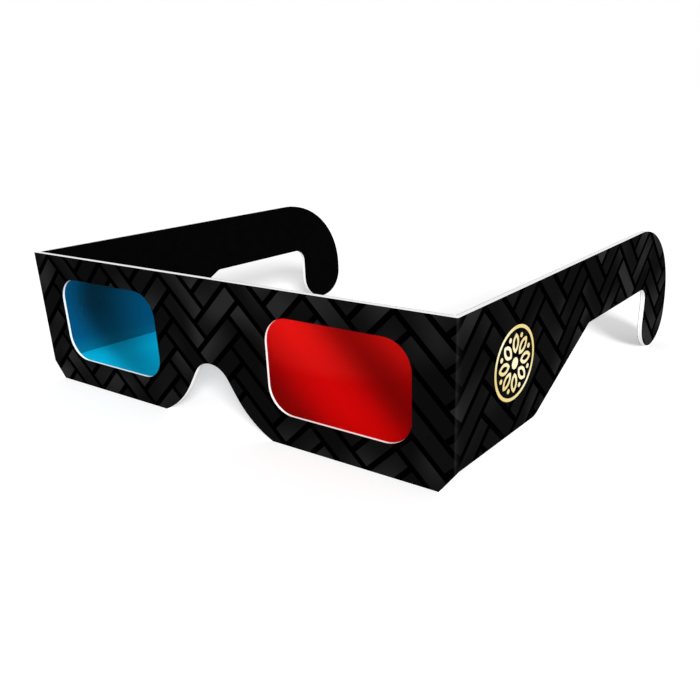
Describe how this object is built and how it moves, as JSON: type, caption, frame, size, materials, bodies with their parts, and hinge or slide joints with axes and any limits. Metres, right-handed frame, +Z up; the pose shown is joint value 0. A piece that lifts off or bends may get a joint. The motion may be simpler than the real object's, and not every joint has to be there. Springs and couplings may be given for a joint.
{
  "type": "folding card 3d glasses",
  "caption": "Folding paperboard viewing glasses with a red and a cyan film lens, a nose notch and creased temples with ear hooks.",
  "frame": {"origin": "on the surface that the open glasses stand on, in the middle of the box round them", "axes": "+X towards the wearer's left, along the front; +Y from the front towards the ear hooks; +Z up"},
  "size_m": [0.1554, 0.1256, 0.04],
  "materials": {
    "printed_board": "white-core paperboard printed black, with a tone-on-tone pattern in satin varnish",
    "lining_card": "plain black matt card with a white core",
    "glue": "dried white glue",
    "red_film": "clear red film",
    "cyan_film": "clear cyan film",
    "gold_foil": "hot-stamped gold foil"
  },
  "bodies": {
    "front": {"front_board": "printed_board", "front_glue": "glue", "front_lining": "lining_card", "red_film": "red_film", "cyan_film": "cyan_film", "left_crease": "printed_board", "right_crease": "printed_board"},
    "left_temple": {"left_temple_board": "printed_board", "left_temple_glue": "glue", "left_temple_lining": "lining_card", "foil_stamp": "gold_foil"},
    "right_temple": {"right_temple_board": "printed_board", "right_temple_glue": "glue", "right_temple_lining": "lining_card"}
  },
  "joints": [
    {"name": "left_temple_fold", "type": "hinge", "parent": "front", "child": "left_temple", "pos_m": [0.06095, -0.06125, 0.02], "axis": [0, 0, 1], "range_deg": [-83, 96.8], "deforming": ["left_crease"]},
    {"name": "right_temple_fold", "type": "hinge", "parent": "front", "child": "right_temple", "pos_m": [-0.07595, -0.06125, 0.02], "axis": [0, 0, -1], "range_deg": [-100, 70], "deforming": ["right_crease"]}
  ]
}
